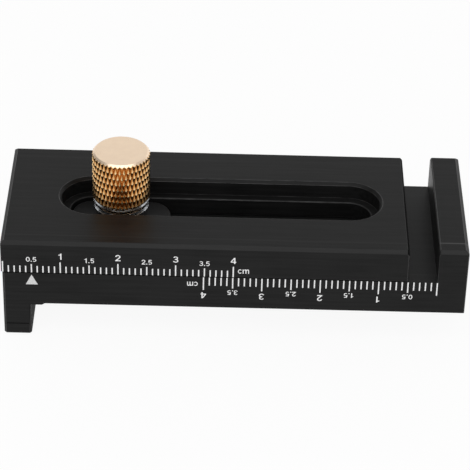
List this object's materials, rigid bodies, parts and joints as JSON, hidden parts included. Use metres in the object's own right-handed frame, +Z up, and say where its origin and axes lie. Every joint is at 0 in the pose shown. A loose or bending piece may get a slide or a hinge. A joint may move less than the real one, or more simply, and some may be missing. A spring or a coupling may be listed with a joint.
{
  "type": "depth gauge",
  "caption": "Two-bar depth gauge: a slotted block slides on a Z-shaped bar with a leg and a lip, and a knurled brass thumb knob locks it. Centimetre scales on the front.",
  "frame": {"origin": "under the middle of the gauge's outline at rest, at the level of the leg's foot", "axes": "+X along the bar towards the lip, +Y to the back, +Z up"},
  "size_m": [0.0802, 0.03, 0.029],
  "materials": {
    "black_anodised": "black anodised, satin",
    "black_oxide_steel": "black oxide",
    "black_nylon": "matte",
    "clear_plastic": "clear, polished",
    "brass": "polished, diamond knurled side",
    "white_marking": "white scale marks"
  },
  "bodies": {
    "base": {"base_bar": "black_anodised", "guide_key": "black_anodised", "key_screw_left": "black_oxide_steel", "key_screw_right": "black_oxide_steel", "clamp_stud": "black_oxide_steel", "friction_washer": "black_nylon"},
    "block": {"slide_block": "black_anodised"},
    "clamp_washer": {"clear_washer": "clear_plastic"},
    "knob": {"thumb_knob": "brass"}
  },
  "joints": [
    {"name": "block_slide", "type": "slide", "parent": "base", "child": "block", "axis": [-1, 0, 0], "range_m": [0, 0.035]},
    {"name": "knob_lift", "type": "slide", "parent": "base", "child": "clamp_washer", "axis": [0, 0, 1], "range_m": [0, 0.0048]},
    {"name": "knob_turn", "type": "hinge", "parent": "clamp_washer", "child": "knob", "pos_m": [-0.0201, 0, 0.0199], "axis": [0, 0, 1], "range_deg": [0, 2160]}
  ],
  "couplings": [
    {"joint": "knob_turn", "follows": "knob_lift", "rad_per_m": 7854}
  ]
}
